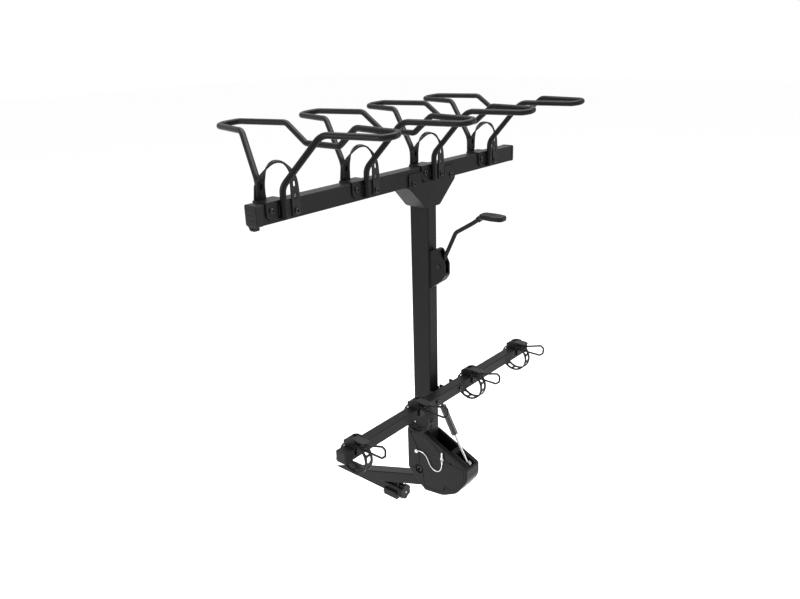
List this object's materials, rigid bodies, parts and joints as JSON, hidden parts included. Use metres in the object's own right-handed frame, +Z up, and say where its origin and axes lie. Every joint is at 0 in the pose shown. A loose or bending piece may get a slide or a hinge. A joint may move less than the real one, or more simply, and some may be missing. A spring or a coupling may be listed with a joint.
{
  "type": "hitch mounted bike rack",
  "caption": "Upright hitch bike rack: a tilting mast on a hitch base carries an upper beam with wire wheel cradles and a lower bar with rubber strap clamps; lever-released tilt with a strut.",
  "frame": {"origin": "on the square receiver shank's centreline, where the snap pin's axis crosses it", "axes": "+Y points into the vehicle's hitch receiver, along the shank; +Z is up; +X runs along the two crossbars and is the side the snap pin is on"},
  "size_m": [1.143, 0.7596, 1.3899],
  "materials": {
    "powder_coat": "satin black powder coat",
    "moulded_plastic": "fine-grained black moulding",
    "grip_plastic": "smooth black moulding",
    "buckle_plastic": "dark grey moulding",
    "strap_rubber": "flexible black rubber",
    "coated_wire": "dipped black wire",
    "black_fastener": "black zinc",
    "bright_steel": "zinc plated",
    "lock_chrome": "bright",
    "strut_enamel": "gloss black",
    "strut_rod_steel": "polished rod"
  },
  "bodies": {
    "hitch_base": {"receiver_shank": "powder_coat", "hitch_arm": "powder_coat", "shank_end_plates": "powder_coat", "knob_housing": "moulded_plastic", "lock_barrel": "lock_chrome", "base_side_plates": "powder_coat", "base_shell_left": "moulded_plastic", "base_shell_right": "moulded_plastic", "shell_screws": "black_fastener", "rear_cover": "moulded_plastic", "mast_pivot_bolt": "black_fastener", "strut_foot_pin": "black_fastener", "lanyard_cable": "bright_steel", "lanyard_ring": "bright_steel", "lanyard_clip": "bright_steel", "lanyard_rivets": "bright_steel"},
    "wedge": {"anti_wobble_wedge": "bright_steel"},
    "draw_bolt": {"draw_bolt": "bright_steel"},
    "knob": {"tightening_knob": "moulded_plastic"},
    "snap_pin": {"snap_pin": "bright_steel"},
    "mast": {"mast": "powder_coat", "pivot_bushings": "moulded_plastic", "head_bracket": "powder_coat", "head_bolts": "black_fastener", "upper_beam": "powder_coat", "beam_end_caps": "moulded_plastic", "cradle_hoop_1": "powder_coat", "cradle_hoop_2": "powder_coat", "cradle_hoop_3": "powder_coat", "cradle_hoop_4": "powder_coat", "cradle_saddle_1": "powder_coat", "cradle_saddle_2": "powder_coat", "cradle_saddle_3": "powder_coat", "cradle_saddle_4": "powder_coat", "cradle_bolts": "black_fastener", "front_wheel_straps": "strap_rubber", "lower_bar": "powder_coat", "lower_bar_caps": "moulded_plastic", "lower_bar_bracket": "powder_coat", "lower_bar_bolts": "black_fastener", "rear_strap_1": "strap_rubber", "rear_strap_2": "strap_rubber", "rear_strap_3": "strap_rubber", "rear_strap_4": "strap_rubber", "clamp_bases": "moulded_plastic", "wheel_stays": "coated_wire", "strut_lugs": "powder_coat", "lever_bracket": "powder_coat", "lever_pin": "black_fastener"},
    "strut_cylinder": {"strut_cylinder": "strut_enamel"},
    "strut_rod": {"strut_rod": "strut_rod_steel"},
    "release_lever": {"release_lever": "powder_coat", "lever_grip": "grip_plastic"},
    "latch_rod": {"latch_rod": "powder_coat"},
    "buckle_1": {"buckle_lever_1": "buckle_plastic"},
    "buckle_2": {"buckle_lever_2": "buckle_plastic"},
    "buckle_3": {"buckle_lever_3": "buckle_plastic"},
    "buckle_4": {"buckle_lever_4": "buckle_plastic"}
  },
  "joints": [
    {"name": "mast_tilt", "type": "hinge", "parent": "hitch_base", "child": "mast", "pos_m": [0, -0.366, 0.154], "axis": [1, 0, 0], "range_deg": [0, 25]},
    {"name": "strut_swing", "type": "hinge", "parent": "mast", "child": "strut_cylinder", "pos_m": [0, -0.434, 0.422], "axis": [1, 0, 0], "range_deg": [0, 1.47]},
    {"name": "rod_slide", "type": "slide", "parent": "strut_cylinder", "child": "strut_rod", "axis": [0, 0.4856, 0.8742], "range_m": [0, 0.08331]},
    {"name": "lever_pull", "type": "hinge", "parent": "mast", "child": "release_lever", "pos_m": [0, -0.442, 0.888], "axis": [1, 0, 0], "range_deg": [0, 18], "stiffness_Nm_per_rad": 3},
    {"name": "latch_lift", "type": "slide", "parent": "mast", "child": "latch_rod", "axis": [0, 0, 1], "range_m": [0, 0.0138]},
    {"name": "knob_turn", "type": "hinge", "parent": "hitch_base", "child": "knob", "pos_m": [0, -0.262, 0], "axis": [0, 1, 0], "range_deg": [0, 1440]},
    {"name": "bolt_draw", "type": "slide", "parent": "hitch_base", "child": "draw_bolt", "axis": [0, -1, 0], "range_m": [0, 0.00505]},
    {"name": "wedge_slide", "type": "slide", "parent": "hitch_base", "child": "wedge", "axis": [0, -0.9085, 0.4179], "range_m": [0, 0.0055]},
    {"name": "snap_pin_push", "type": "slide", "parent": "hitch_base", "child": "snap_pin", "axis": [-1, 0, 0], "range_m": [0, 0.0068], "stiffness_N_per_m": 800},
    {"name": "buckle_1_flip", "type": "hinge", "parent": "mast", "child": "buckle_1", "pos_m": [-0.43, -0.463, 0.496], "axis": [-1, 0, 0], "range_deg": [0, 95]},
    {"name": "buckle_2_flip", "type": "hinge", "parent": "mast", "child": "buckle_2", "pos_m": [-0.148, -0.463, 0.496], "axis": [-1, 0, 0], "range_deg": [0, 95]},
    {"name": "buckle_3_flip", "type": "hinge", "parent": "mast", "child": "buckle_3", "pos_m": [0.134, -0.463, 0.496], "axis": [-1, 0, 0], "range_deg": [0, 95]},
    {"name": "buckle_4_flip", "type": "hinge", "parent": "mast", "child": "buckle_4", "pos_m": [0.416, -0.463, 0.496], "axis": [-1, 0, 0], "range_deg": [0, 95]}
  ],
  "couplings": [
    {"joint": "strut_swing", "follows": "mast_tilt", "ratio": 0.0578},
    {"joint": "rod_slide", "follows": "mast_tilt", "m_per_rad": 0.18904},
    {"joint": "latch_lift", "follows": "lever_pull", "m_per_rad": 0.0436},
    {"joint": "bolt_draw", "follows": "wedge_slide", "ratio": 0.9085},
    {"joint": "knob_turn", "follows": "wedge_slide", "rad_per_m": 4566}
  ]
}
